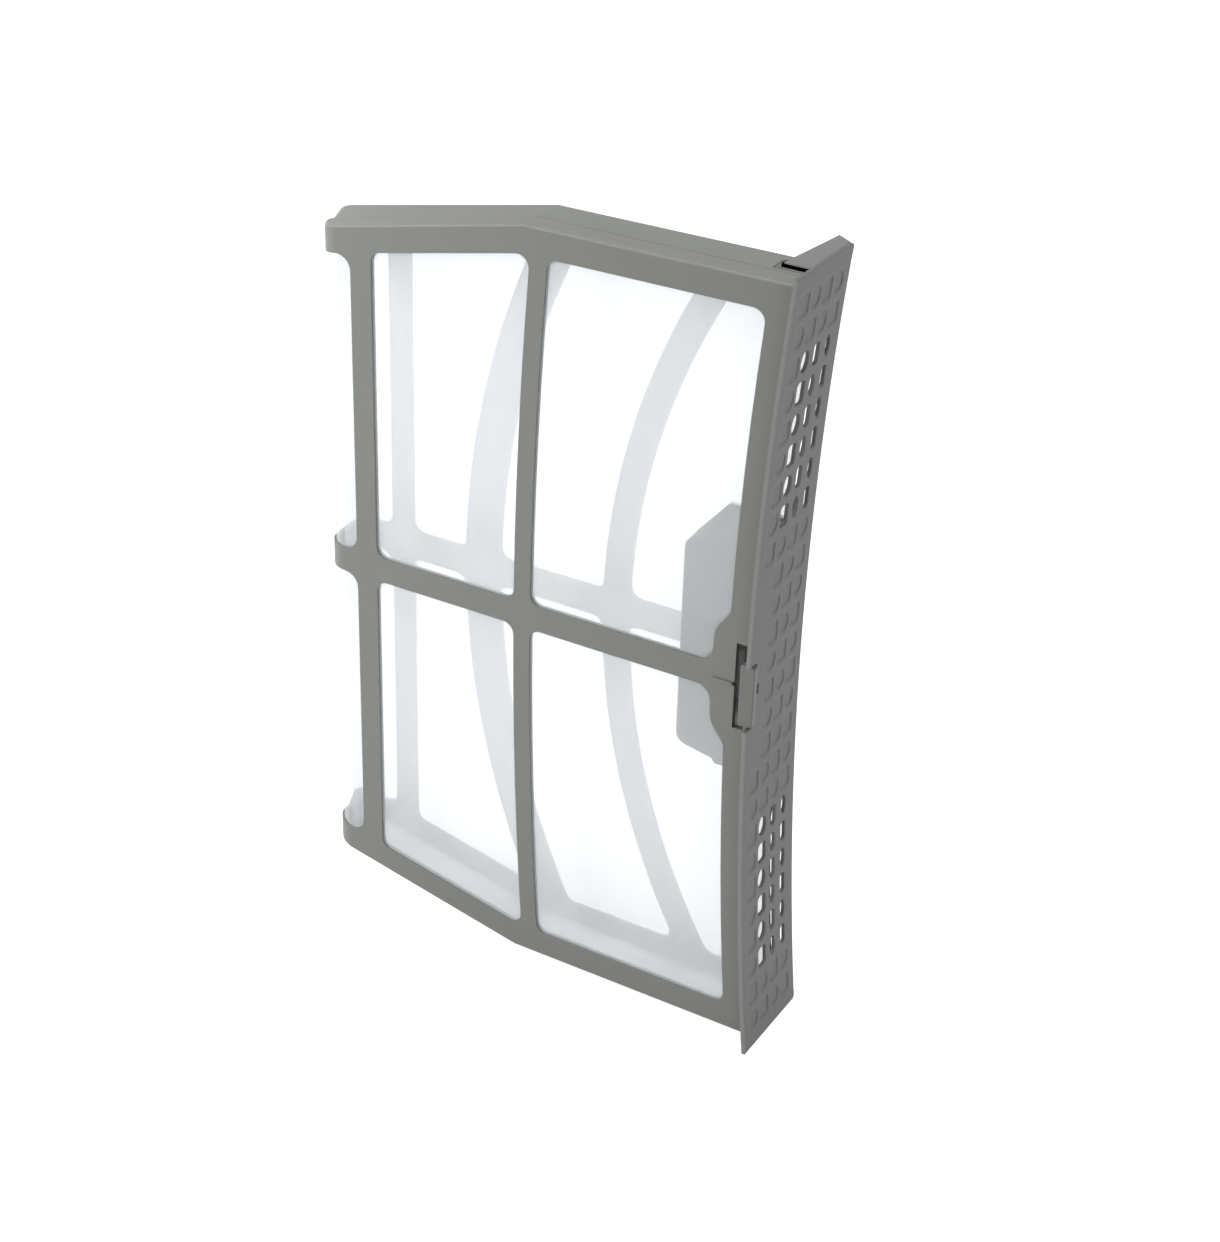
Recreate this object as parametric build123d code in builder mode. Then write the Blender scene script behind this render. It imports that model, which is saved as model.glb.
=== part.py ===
from build123d import *
from math import cos, pi, sin, sqrt
import os

# Tumble dryer lint filter, standing on its end. Millimetres.
# +Z up, X runs from the bend to the handle plate, the front leaf faces -Y.
# Heights in the leaf views are counted from mid-height, depths from the parting plane.

# Handle plate
PLATE_LENGTH = 270.0
PLATE_WIDTH = 35.0
PLATE_THICKNESS = 1.3
PLATE_CURVE = 1270.0
PLATE_FRONT_REACH = 12.8
LIP_DEPTH = 5.0
LIP_THICKNESS = 1.6
FAR_CORNER = 2.0
NOTCH_PLAY = 0.5
NOTCH_CORNER = 0.8
SLIT_Y = -6.5
SLIT_Z = -0.9
SLIT_WIDTH = 1.2
SLIT_HEIGHT = 3.4

# Vents of the handle plate: two fields of oblong and oval holes by turns
VENT_WIDTH = 6.1
OBLONG_HEIGHT = 8.0
OBLONG_CORNER = 1.2
OVAL_HEIGHT = 8.6
OVAL_SIDES = 12
VENT_PITCH_Y = 7.3
VENT_PITCH_Z = 10.0
VENT_COLUMNS = 3
VENT_ROWS = 6
VENT_FIRST_Y = 0.7
VENT_FIRST_Z = 55.0

# Tabs of the handle plate and their webs, let into the rear frame's end walls
TAB_LENGTH = 13.5
TAB_FROM_Y = 1.9
TAB_TO_Y = 7.0
TAB_SLOT_LENGTH = 8.0
TAB_SLOT_WIDTH = 2.5
TAB_SLOT_SETBACK = 2.2
TAB_PLAY = 0.3

# Pocket
HINGE_TO_PLATE = 160.4
FRONT_DEPTH = 8.0
REAR_DEPTH = 14.0
WALL = 2.0
PARTING_GAP = 0.3
SEAT_GAP = 0.3
LEAF_END_GAP = 0.5
KINK_X = 75.4
PLATE_END_OVERHANG = 4.0
KINK_DROP = 0.8
HINGE_DROP = 16.3
FRONT_BEND_RADIUS = 8.0
REAR_BEND_RADIUS = 4.5
FRONT_EDGE_RADIUS = 0.8
REAR_EDGE_RADIUS = 2.4

# Windows
RAIL_WIDTH = 9.0
STILE_WIDTH = 8.7
REAR_STILE_WIDTH = 3.4
WINDOW_CORNER = 4.0
END_WINDOW_CORNER = 5.0
FRONT_MID_RAIL = 8.8
FRONT_BAR_1_X = 17.0
FRONT_BAR_1_WIDTH = 7.7
FRONT_BAR_2_X = 76.7
FRONT_BAR_2_WIDTH = 6.0
FRONT_BAR_2_CURVE = 1660.0
LOBE_NECK_REACH = 18.4
LOBE_SHOULDER_REACH = 15.8
LOBE_SHOULDER_Z = 7.0
LOBE_TOP_REACH = 8.0
LOBE_TOP_Z = 29.0
LOBE_CORNER = 3.0
RIDGE_LENGTH = 7.0
RIDGE_WIDTH = 0.9
RIDGE_HEIGHT = 0.5
RIDGE_Z = -0.9
RIDGE_NOTCH = 0.8
REAR_MID_RAIL = 9.8
REAR_BAR_1_X = 17.4
REAR_BAR_1_WIDTH = 8.0
REAR_BAR_2_X = 49.0
REAR_BAR_2_WIDTH = 13.0
REAR_BAR_2_CURVE = 280.0
REAR_BAR_3_X = 99.5
REAR_BAR_3_WIDTH = 9.3
REAR_BAR_3_CURVE = 239.0

# Finger recess in the rear frame
RECESS_MID_Z = 1.2
RECESS_MOUTH_REACH = 33.4
RECESS_MOUTH_HALF = 46.8
RECESS_SHOULDER_REACH = 22.4
RECESS_SHOULDER_HALF = 34.3
RECESS_FLOOR_REACH = 32.4
RECESS_FLOOR_HALF = 36.4
RECESS_FLOOR_STEP = 3.92
RECESS_FLOOR_CORNER = 4.0
RECESS_FLOOR_Y = 3.4
RECESS_WALL = 1.8

# Filter mesh
MESH_THICKNESS = 0.4
MESH_PLAY = 0.1
MESH_EDGE = 0.4
MESH_STILE_COVER = 4.0
REAR_MESH_STILE_COVER = 1.4

# Latch hook, its slideway on the recess floor and its slot in the front leaf
HOOK_MID_Z = -2.3
HOOK_HEIGHT = 21.4
HOOK_TRAVEL = 1.6
HOOK_PLAY = 0.4
FOOT_LENGTH = 6.5
FOOT_THICKNESS = 2.2
STEM_SETBACK = 1.1
STEM_THICKNESS = 1.8
STEM_HEIGHT = 17.4
HEAD_PROUD = 0.8
HEAD_LENGTH = 5.0
HEAD_THICKNESS = 2.4
HEAD_CORNER = 1.0
SLIDEWAY_SPARE = 2.4
SLIDEWAY_RIB = 1.8
SLIDEWAY_LIP = 1.8
SLIDEWAY_LIP_THICKNESS = 1.4
LATCH_SLOT_ABOVE = 5.2
LATCH_SLOT_BELOW = 3.3
LATCH_SLOT_SPARE = 1.0
LATCH_STRIP = 1.6
LATCH_MOUTH_PLAY = 1.6

# How far cutting shapes run past the faces that they cut
OVERRUN = 5.0

# Sizes that follow from those above
curve_x = HINGE_TO_PLATE + PLATE_CURVE
tip_x = curve_x - sqrt(PLATE_CURVE**2 - (PLATE_LENGTH / 2) ** 2)
far_x = tip_x + OVERRUN
handle_half_height = PLATE_LENGTH / 2 - PLATE_END_OVERHANG
kink_half_height = handle_half_height - KINK_DROP
hinge_half_height = kink_half_height - HINGE_DROP
end_slope = HINGE_DROP / KINK_X
level_slope = KINK_DROP / (tip_x - KINK_X)
rear_end_offset = PLATE_THICKNESS + SEAT_GAP
front_end_offset = PLATE_THICKNESS + LEAF_END_GAP
tab_to_x = tip_x - PLATE_THICKNESS
tab_from_x = tab_to_x - TAB_LENGTH
tab_from_z = kink_half_height + level_slope * (tab_from_x - KINK_X) - WALL
plate_far_y = PLATE_WIDTH - PLATE_FRONT_REACH
lip_end_x = curve_x - sqrt((PLATE_CURVE + LIP_DEPTH) ** 2 - (PLATE_LENGTH / 2) ** 2)
lobe_neck_x = HINGE_TO_PLATE - LOBE_NECK_REACH
lobe_shoulder_x = HINGE_TO_PLATE - LOBE_SHOULDER_REACH
lobe_top_x = HINGE_TO_PLATE - LOBE_TOP_REACH
recess_mouth_x = HINGE_TO_PLATE - RECESS_MOUTH_REACH
recess_shoulder_x = HINGE_TO_PLATE - RECESS_SHOULDER_REACH
recess_floor_x = HINGE_TO_PLATE - RECESS_FLOOR_REACH
recess_floor_flare = (RECESS_MOUTH_HALF - RECESS_FLOOR_STEP - RECESS_FLOOR_HALF) / RECESS_FLOOR_REACH
recess_end_x = HINGE_TO_PLATE - rear_end_offset - RECESS_WALL
hook_from_z = HOOK_MID_Z - HOOK_HEIGHT / 2
hook_to_z = HOOK_MID_Z + HOOK_HEIGHT / 2
stem_to_x = HINGE_TO_PLATE - PLATE_THICKNESS - STEM_SETBACK
stem_from_x = stem_to_x - STEM_THICKNESS
foot_from_x = stem_to_x - FOOT_LENGTH
foot_to_y = RECESS_FLOOR_Y - HOOK_PLAY
foot_from_y = foot_to_y - FOOT_THICKNESS
head_to_x = HINGE_TO_PLATE + HEAD_PROUD
head_to_y = -FRONT_DEPTH - HOOK_PLAY
notch_depth = PLATE_FRONT_REACH + head_to_y + NOTCH_PLAY
slideway_from_x = foot_from_x - HOOK_TRAVEL - SLIDEWAY_SPARE
latch_slot_from_x = stem_from_x - HOOK_TRAVEL - HOOK_PLAY - LATCH_SLOT_SPARE
latch_slot_to_x = HINGE_TO_PLATE - front_end_offset - LATCH_STRIP

# Views: the pocket's own origin lies on the crown of the bend, at mid-height, on the parting plane
pocket_origin = (-tip_x / 2, PLATE_FRONT_REACH - PLATE_WIDTH / 2, PLATE_LENGTH / 2)
front_view = Plane(origin=pocket_origin, x_dir=(1, 0, 0), z_dir=(0, -1, 0))
rear_view = Plane(origin=pocket_origin, x_dir=(1, 0, 0), z_dir=(0, 1, 0))
top_view = Plane(origin=pocket_origin, x_dir=(1, 0, 0), z_dir=(0, 0, 1))
handle_view = Plane(origin=pocket_origin, x_dir=(0, 1, 0), z_dir=(1, 0, 0))


def sloped_end(x):
    """Half-height of the pocket between the bend and the kink."""
    return hinge_half_height + end_slope * x


def level_end(x):
    """Half-height of the pocket between the kink and the handle plate."""
    return kink_half_height + level_slope * (x - KINK_X)


def leaf_outline(inset, handle_offset):
    """Leaf seen from the front: sloped ends, a kink, level ends and a curved handle edge."""
    near = sloped_end(-OVERRUN) - inset
    kink = kink_half_height - inset
    far = level_end(far_x) - inset
    with BuildSketch() as outline:
        Polygon(
            (-OVERRUN, -near),
            (KINK_X, -kink),
            (far_x, -far),
            (far_x, far),
            (KINK_X, kink),
            (-OVERRUN, near),
            align=None,
        )
        with Locations((curve_x, 0)):
            Circle(PLATE_CURVE + handle_offset, mode=Mode.SUBTRACT)
    return outline.sketch


def bend_profile(depth, inset, side):
    """Pocket half seen from above: a rounded corner at the bend, then a flat face."""
    bend_radius = FRONT_BEND_RADIUS if side < 0 else REAR_BEND_RADIUS
    radius = bend_radius - inset
    halfway = radius * sqrt(0.5)
    centre_y = depth - bend_radius
    face_y = depth - inset
    with BuildSketch() as profile:
        with BuildLine():
            ThreePointArc(
                (inset, side * centre_y),
                (bend_radius - halfway, side * (centre_y + halfway)),
                (bend_radius, side * face_y),
            )
            Line((bend_radius, side * face_y), (far_x, side * face_y))
            Line((far_x, side * face_y), (far_x, -side * OVERRUN))
            Line((far_x, -side * OVERRUN), (inset, -side * OVERRUN))
            Line((inset, -side * OVERRUN), (inset, side * centre_y))
        make_face()
    return profile.sketch


def pocket_half(view, side, depth, inset, handle_offset, start, edge_radius):
    """Solid half of the pocket, from a distance off the parting plane to its rounded outer face."""
    with BuildPart() as half:
        with BuildSketch(top_view):
            add(bend_profile(depth, inset, side))
        extrude(amount=handle_half_height + OVERRUN, both=True)
        with BuildSketch(view.offset(start)):
            add(leaf_outline(inset, handle_offset))
        extrude(amount=depth + OVERRUN, mode=Mode.INTERSECT)
        if edge_radius:
            outer_face = half.faces().filter_by(Axis.Y).sort_by(Axis.Y if side > 0 else -Axis.Y)[-1]
            fillet(outer_face.edges().filter_by(GeomType.LINE).filter_by(Axis.Z, reverse=True), edge_radius)
    return half.part


def bay(from_x, to_x, mid_rail, end_height):
    """Corners of the space above the middle rail, between two heights across the leaf."""
    return (
        (from_x, mid_rail / 2),
        (to_x, mid_rail / 2),
        (to_x, end_height(to_x) - RAIL_WIDTH),
        (from_x, end_height(from_x) - RAIL_WIDTH),
    )


def end_window(bar_x, bar_width, mid_rail):
    """Window round the bend; its open side lies past the crown."""
    with BuildSketch() as window:
        Polygon(*bay(-OVERRUN, bar_x - bar_width / 2, mid_rail, sloped_end), align=None)
        fillet(window.vertices().group_by(Axis.X)[-1], END_WINDOW_CORNER)
    return window.sketch


def front_windows():
    """All windows of the front leaf."""
    bar_2_centre = FRONT_BAR_2_X + FRONT_BAR_2_CURVE
    with BuildSketch() as middle_window:
        bar_1_edge = FRONT_BAR_1_X + FRONT_BAR_1_WIDTH / 2
        Polygon(*bay(bar_1_edge, far_x, FRONT_MID_RAIL, sloped_end), align=None)
        with Locations((bar_2_centre, 0)):
            Circle(FRONT_BAR_2_CURVE + FRONT_BAR_2_WIDTH / 2, mode=Mode.SUBTRACT)
        fillet(middle_window.vertices(), WINDOW_CORNER)
    with BuildSketch() as handle_window:
        Polygon(*bay(0, far_x, FRONT_MID_RAIL, level_end), align=None)
        with Locations((bar_2_centre, 0)):
            Circle(FRONT_BAR_2_CURVE - FRONT_BAR_2_WIDTH / 2, mode=Mode.INTERSECT)
        with Locations((curve_x, 0)):
            Circle(PLATE_CURVE + PLATE_THICKNESS + STILE_WIDTH, mode=Mode.SUBTRACT)
        Polygon(
            (lobe_neck_x, 0),
            (lobe_neck_x, FRONT_MID_RAIL / 2),
            (lobe_shoulder_x, LOBE_SHOULDER_Z),
            (lobe_top_x, LOBE_TOP_Z),
            (far_x, LOBE_TOP_Z),
            (far_x, 0),
            align=None,
            mode=Mode.SUBTRACT,
        )
        lobe_corners = handle_window.vertices().filter_by_position(Axis.Y, 0, LOBE_TOP_Z)
        lobe_corners = lobe_corners.filter_by_position(Axis.X, lobe_neck_x - OVERRUN, far_x)
        fillet(lobe_corners, LOBE_CORNER)
        fillet(handle_window.vertices().filter_by_position(Axis.X, 0, lobe_neck_x - OVERRUN), WINDOW_CORNER)
        fillet(handle_window.vertices().group_by(Axis.Y)[-1].sort_by(Axis.X)[-1:], WINDOW_CORNER)
    with BuildSketch() as windows:
        add(end_window(FRONT_BAR_1_X, FRONT_BAR_1_WIDTH, FRONT_MID_RAIL))
        add(middle_window.sketch)
        add(handle_window.sketch)
        mirror(about=Plane.XZ)
    return windows.sketch


def recess_mouth(to_x, inset):
    """Finger recess at the rear face, with cut-off corners; the rear view counts heights downwards."""
    with BuildSketch() as outline:
        with Locations((0, -RECESS_MID_Z)):
            Polygon(
                (recess_mouth_x, -RECESS_SHOULDER_HALF),
                (recess_shoulder_x, -RECESS_MOUTH_HALF),
                (to_x + inset, -RECESS_MOUTH_HALF),
                (to_x + inset, RECESS_MOUTH_HALF),
                (recess_shoulder_x, RECESS_MOUTH_HALF),
                (recess_mouth_x, RECESS_SHOULDER_HALF),
                align=None,
            )
        if inset:
            offset(amount=-inset, kind=Kind.INTERSECTION)
    return outline.sketch


def recess_floor(to_x, inset):
    """Floor of the finger recess, which widens towards the handle plate."""
    plate_half = RECESS_FLOOR_HALF + recess_floor_flare * (to_x + inset - recess_floor_x)
    with BuildSketch() as outline:
        with Locations((0, -RECESS_MID_Z)):
            Polygon(
                (recess_floor_x, -RECESS_FLOOR_HALF),
                (to_x + inset, -plate_half),
                (to_x + inset, plate_half),
                (recess_floor_x, RECESS_FLOOR_HALF),
                align=None,
            )
        if inset:
            offset(amount=-inset, kind=Kind.INTERSECTION)
        fillet(outline.vertices().group_by(Axis.X)[0], RECESS_FLOOR_CORNER - inset)
    return outline.sketch


def rear_windows():
    """All windows of the rear frame; the finger recess is left standing."""
    bar_2_centre = REAR_BAR_2_X + REAR_BAR_2_CURVE
    bar_3_centre = REAR_BAR_3_X + REAR_BAR_3_CURVE
    with BuildSketch() as bend_side_window:
        bar_1_edge = REAR_BAR_1_X + REAR_BAR_1_WIDTH / 2
        Polygon(*bay(bar_1_edge, far_x, REAR_MID_RAIL, sloped_end), align=None)
        with Locations((bar_2_centre, 0)):
            Circle(REAR_BAR_2_CURVE + REAR_BAR_2_WIDTH / 2, mode=Mode.SUBTRACT)
        fillet(bend_side_window.vertices(), WINDOW_CORNER)
    with BuildSketch() as middle_window:
        Polygon(*bay(0, far_x, REAR_MID_RAIL, level_end), align=None)
        with Locations((bar_2_centre, 0)):
            Circle(REAR_BAR_2_CURVE - REAR_BAR_2_WIDTH / 2, mode=Mode.INTERSECT)
        with Locations((bar_3_centre, 0)):
            Circle(REAR_BAR_3_CURVE + REAR_BAR_3_WIDTH / 2, mode=Mode.SUBTRACT)
        fillet(middle_window.vertices(), WINDOW_CORNER)
    with BuildSketch() as handle_window:
        Polygon(*bay(0, far_x, REAR_MID_RAIL, level_end), align=None)
        with Locations((bar_3_centre, 0)):
            Circle(REAR_BAR_3_CURVE - REAR_BAR_3_WIDTH / 2, mode=Mode.INTERSECT)
        with Locations((curve_x, 0)):
            Circle(PLATE_CURVE + PLATE_THICKNESS + REAR_STILE_WIDTH, mode=Mode.SUBTRACT)
        fillet(handle_window.vertices(), WINDOW_CORNER)
    with BuildSketch() as windows:
        add(end_window(REAR_BAR_1_X, REAR_BAR_1_WIDTH, REAR_MID_RAIL))
        add(bend_side_window.sketch)
        add(middle_window.sketch)
        add(handle_window.sketch)
        mirror(about=Plane.XZ)
        add(recess_mouth(far_x, 0), mode=Mode.SUBTRACT)
    return windows.sketch


def recess_body(inset, from_y, to_y, to_x):
    """Finger recess as a solid that narrows from the rear face to its floor."""
    with BuildPart() as body:
        with BuildSketch(rear_view.offset(to_y)):
            add(recess_mouth(to_x, inset))
        with BuildSketch(rear_view.offset(from_y)):
            add(recess_floor(to_x, inset))
        loft()
    return body.part


def handle_edge(offset):
    """Everything on the handle's side of a line at an even distance from the plate's outer face."""
    with BuildPart() as beyond:
        with BuildSketch(front_view):
            with Locations((curve_x, 0)):
                Circle(PLATE_CURVE + offset)
            with Locations((tip_x, 0)):
                Rectangle(PLATE_LENGTH, PLATE_LENGTH, mode=Mode.INTERSECT)
        extrude(amount=PLATE_WIDTH, both=True)
    return beyond.part


def mesh_sheet(view, side, depth, handle_offset):
    """Mesh lying against the inside of one leaf, round the bend too."""
    outer = WALL + MESH_PLAY
    with BuildPart() as sheet:
        with BuildSketch(top_view):
            add(bend_profile(depth, outer, side))
            add(bend_profile(depth, outer + MESH_THICKNESS, side), mode=Mode.SUBTRACT)
        extrude(amount=handle_half_height, both=True)
        with BuildSketch(view.offset(PARTING_GAP)):
            add(leaf_outline(WALL + MESH_EDGE, handle_offset))
        extrude(amount=depth, mode=Mode.INTERSECT)
    return sheet.part


def plate_profile(depth):
    """Curved strip along the plate's outer face, seen from the front."""
    with BuildSketch() as profile:
        with Locations((curve_x, 0)):
            Circle(PLATE_CURVE + depth)
            Circle(PLATE_CURVE, mode=Mode.SUBTRACT)
        with Locations((tip_x, 0)):
            Rectangle(PLATE_WIDTH, PLATE_LENGTH, mode=Mode.INTERSECT)
    return profile.sketch


def web_outline(play, to_x):
    """Three-cornered web between a tab and the plate's far lip, seen from above."""
    with BuildSketch() as outline:
        Polygon(
            (tab_from_x - play, TAB_TO_Y),
            (to_x, TAB_TO_Y),
            (to_x, plate_far_y),
            (lip_end_x - play, plate_far_y),
            align=None,
        )
    return outline.sketch


def vents():
    """Vents of the handle plate seen from outside: oblongs and ovals by turns, in two fields."""
    oblong_places = []
    oval_places = []
    for row in range(VENT_ROWS):
        z = VENT_FIRST_Z + row * VENT_PITCH_Z
        for column in range(VENT_COLUMNS):
            y = VENT_FIRST_Y + column * VENT_PITCH_Y
            upper_is_oval = (row + column) % 2
            oval_places.append((y, z if upper_is_oval else -z))
            oblong_places.append((y, -z if upper_is_oval else z))
    turns = [2 * pi * side / OVAL_SIDES for side in range(OVAL_SIDES)]
    oval = [(VENT_WIDTH / 2 * cos(turn), OVAL_HEIGHT / 2 * sin(turn)) for turn in turns]
    with BuildSketch() as oblongs:
        with Locations(*oblong_places):
            Rectangle(VENT_WIDTH, OBLONG_HEIGHT)
        chamfer(oblongs.vertices(), OBLONG_CORNER)
    with BuildSketch() as field:
        add(oblongs.sketch)
        with Locations(*oval_places):
            Polygon(*oval, align=None)
    return field.sketch


# Front frame
with BuildPart() as front_frame:
    add(pocket_half(front_view, -1, FRONT_DEPTH, 0, front_end_offset, PARTING_GAP / 2, FRONT_EDGE_RADIUS))
    add(pocket_half(front_view, -1, FRONT_DEPTH, WALL, 0, -OVERRUN, 0), mode=Mode.SUBTRACT)
    with BuildSketch(front_view):
        add(front_windows())
    extrude(amount=FRONT_DEPTH + OVERRUN, mode=Mode.SUBTRACT)
    with BuildSketch(front_view):
        Polygon(
            (latch_slot_from_x, hook_from_z - LATCH_SLOT_BELOW),
            (latch_slot_to_x, hook_from_z - LATCH_SLOT_BELOW),
            (latch_slot_to_x, hook_to_z + LATCH_SLOT_ABOVE),
            (latch_slot_from_x, hook_to_z + LATCH_SLOT_ABOVE),
            align=None,
        )
        Polygon(
            (latch_slot_from_x, hook_from_z - LATCH_MOUTH_PLAY),
            (far_x, hook_from_z - LATCH_MOUTH_PLAY),
            (far_x, hook_to_z + LATCH_MOUTH_PLAY),
            (latch_slot_from_x, hook_to_z + LATCH_MOUTH_PLAY),
            align=None,
        )
        with Locations((latch_slot_from_x, RIDGE_Z)):
            Circle(RIDGE_NOTCH)
    extrude(amount=FRONT_DEPTH + OVERRUN, mode=Mode.SUBTRACT)
    with BuildSketch(front_view.offset(FRONT_DEPTH)):
        with Locations((latch_slot_from_x - RIDGE_NOTCH - RIDGE_LENGTH / 2, RIDGE_Z)):
            SlotOverall(RIDGE_LENGTH, RIDGE_WIDTH)
    extrude(amount=RIDGE_HEIGHT)

# Front mesh, with a bite where the hook passes through the lobe
with BuildPart() as front_mesh:
    add(mesh_sheet(front_view, -1, FRONT_DEPTH, PLATE_THICKNESS + STILE_WIDTH - MESH_STILE_COVER))
    with BuildSketch(front_view):
        bite_x = latch_slot_from_x - RIDGE_NOTCH - MESH_EDGE
        bite_from_z = hook_from_z - LATCH_SLOT_BELOW - MESH_EDGE
        bite_to_z = hook_to_z + LATCH_SLOT_ABOVE + MESH_EDGE
        Polygon(
            (bite_x, bite_from_z),
            (far_x, bite_from_z),
            (far_x, bite_to_z),
            (bite_x, bite_to_z),
            align=None,
        )
    extrude(amount=FRONT_DEPTH, mode=Mode.SUBTRACT)

# Slideway of the latch hook, upper half
with BuildPart() as slideway:
    rib_from_z = hook_to_z + HOOK_PLAY
    lip_to_y = foot_from_y - HOOK_PLAY
    with BuildSketch(top_view.offset(rib_from_z)):
        Polygon(
            (slideway_from_x, lip_to_y - SLIDEWAY_LIP_THICKNESS),
            (recess_end_x, lip_to_y - SLIDEWAY_LIP_THICKNESS),
            (recess_end_x, RECESS_FLOOR_Y + RECESS_WALL / 2),
            (slideway_from_x, RECESS_FLOOR_Y + RECESS_WALL / 2),
            align=None,
        )
    extrude(amount=SLIDEWAY_RIB)
    with BuildSketch(top_view.offset(rib_from_z - SLIDEWAY_LIP)):
        Polygon(
            (slideway_from_x, lip_to_y - SLIDEWAY_LIP_THICKNESS),
            (recess_end_x, lip_to_y - SLIDEWAY_LIP_THICKNESS),
            (recess_end_x, lip_to_y),
            (slideway_from_x, lip_to_y),
            align=None,
        )
    extrude(amount=SLIDEWAY_LIP)

# Seat of the handle plate's upper tab and web, as cut from the end wall
with BuildPart() as tab_seat:
    with BuildSketch(top_view.offset(tab_from_z - TAB_PLAY)):
        add(web_outline(2 * TAB_PLAY, far_x))
        Polygon(
            (tab_from_x - TAB_PLAY, TAB_FROM_Y - TAB_PLAY),
            (far_x, TAB_FROM_Y - TAB_PLAY),
            (far_x, TAB_TO_Y),
            (tab_from_x - TAB_PLAY, TAB_TO_Y),
            align=None,
        )
    extrude(amount=WALL + OVERRUN)

# Rear frame
with BuildPart() as rear_frame:
    add(pocket_half(rear_view, 1, REAR_DEPTH, 0, rear_end_offset, PARTING_GAP / 2, REAR_EDGE_RADIUS))
    add(pocket_half(rear_view, 1, REAR_DEPTH, WALL, 0, -OVERRUN, 0), mode=Mode.SUBTRACT)
    with BuildSketch(rear_view):
        add(rear_windows())
    extrude(amount=REAR_DEPTH + OVERRUN, mode=Mode.SUBTRACT)
    add(recess_body(0, RECESS_FLOOR_Y, REAR_DEPTH, far_x))
    add(
        recess_body(
            RECESS_WALL,
            RECESS_FLOOR_Y + RECESS_WALL,
            REAR_DEPTH + RECESS_WALL,
            recess_end_x,
        ),
        mode=Mode.SUBTRACT,
    )
    add(handle_edge(rear_end_offset), mode=Mode.SUBTRACT)
    add(slideway.part)
    mirror(slideway.part, about=top_view.offset(HOOK_MID_Z))
    add(tab_seat.part, mode=Mode.SUBTRACT)
    mirror(tab_seat.part, about=top_view, mode=Mode.SUBTRACT)

# Rear mesh, open round the finger recess
with BuildPart() as rear_mesh:
    add(mesh_sheet(rear_view, 1, REAR_DEPTH, PLATE_THICKNESS + REAR_STILE_WIDTH - REAR_MESH_STILE_COVER))
    with BuildSketch(rear_view):
        add(recess_mouth(far_x, -MESH_EDGE))
    extrude(amount=REAR_DEPTH, mode=Mode.SUBTRACT)

# Latch hook: foot in the slideway, stem through the pocket, head in front of the leaf
with BuildPart() as latch_hook:
    with BuildSketch(top_view.offset(hook_from_z)):
        Polygon(
            (foot_from_x, foot_from_y),
            (stem_to_x, foot_from_y),
            (stem_to_x, foot_to_y),
            (foot_from_x, foot_to_y),
            align=None,
        )
    extrude(amount=HOOK_HEIGHT)
    with BuildSketch(top_view.offset(HOOK_MID_Z - STEM_HEIGHT / 2)):
        Polygon(
            (stem_from_x, head_to_y),
            (stem_to_x, head_to_y),
            (stem_to_x, foot_from_y),
            (stem_from_x, foot_from_y),
            align=None,
        )
    extrude(amount=STEM_HEIGHT)
    with BuildSketch(front_view.offset(-head_to_y)):
        with Locations((head_to_x - HEAD_LENGTH / 2, HOOK_MID_Z)):
            RectangleRounded(HEAD_LENGTH, HOOK_HEIGHT, HEAD_CORNER)
    extrude(amount=HEAD_THICKNESS)

# Web that rises from the upper tab to the plate's far corner
with BuildPart() as web:
    with BuildSketch(handle_view):
        Polygon(
            (TAB_TO_Y, tab_from_z),
            (plate_far_y, PLATE_LENGTH / 2 - WALL),
            (plate_far_y, PLATE_LENGTH / 2),
            (TAB_TO_Y, tab_from_z + WALL),
            align=None,
        )
    extrude(amount=far_x)
    with BuildSketch(top_view):
        add(web_outline(0, tab_to_x))
    extrude(amount=PLATE_LENGTH / 2, mode=Mode.INTERSECT)

# Tab of the handle plate, with the slot of its catch
with BuildPart() as tab:
    with BuildSketch(top_view.offset(tab_from_z)):
        Polygon(
            (tab_from_x, TAB_FROM_Y),
            (tab_to_x, TAB_FROM_Y),
            (tab_to_x, TAB_TO_Y),
            (tab_from_x, TAB_TO_Y),
            align=None,
        )
        with Locations((tab_from_x + TAB_SLOT_SETBACK + TAB_SLOT_LENGTH / 2, (TAB_FROM_Y + TAB_TO_Y) / 2)):
            Rectangle(TAB_SLOT_LENGTH, TAB_SLOT_WIDTH, mode=Mode.SUBTRACT)
    extrude(amount=WALL)

# Handle plate
with BuildPart() as handle_plate:
    with BuildSketch(front_view.offset(PLATE_FRONT_REACH)):
        add(plate_profile(PLATE_THICKNESS))
    extrude(amount=-PLATE_WIDTH)
    with BuildSketch(front_view.offset(-plate_far_y)):
        add(plate_profile(LIP_DEPTH))
    extrude(amount=LIP_THICKNESS)
    with BuildSketch(handle_view) as plate_face:
        with Locations((PLATE_WIDTH / 2 - PLATE_FRONT_REACH, 0)):
            Rectangle(PLATE_WIDTH, PLATE_LENGTH)
        fillet(plate_face.vertices().group_by(Axis.X)[-1], FAR_CORNER)
        with Locations((-PLATE_FRONT_REACH, HOOK_MID_Z)):
            notch_height = HOOK_HEIGHT + 2 * NOTCH_PLAY
            RectangleRounded(2 * notch_depth, notch_height, NOTCH_CORNER, mode=Mode.SUBTRACT)
        with Locations((SLIT_Y, SLIT_Z)):
            Rectangle(SLIT_WIDTH, SLIT_HEIGHT, mode=Mode.SUBTRACT)
        add(vents(), mode=Mode.SUBTRACT)
    extrude(amount=far_x, mode=Mode.INTERSECT)
    add(tab.part)
    add(web.part)
    mirror(tab.part, about=top_view)
    mirror(web.part, about=top_view)

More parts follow.
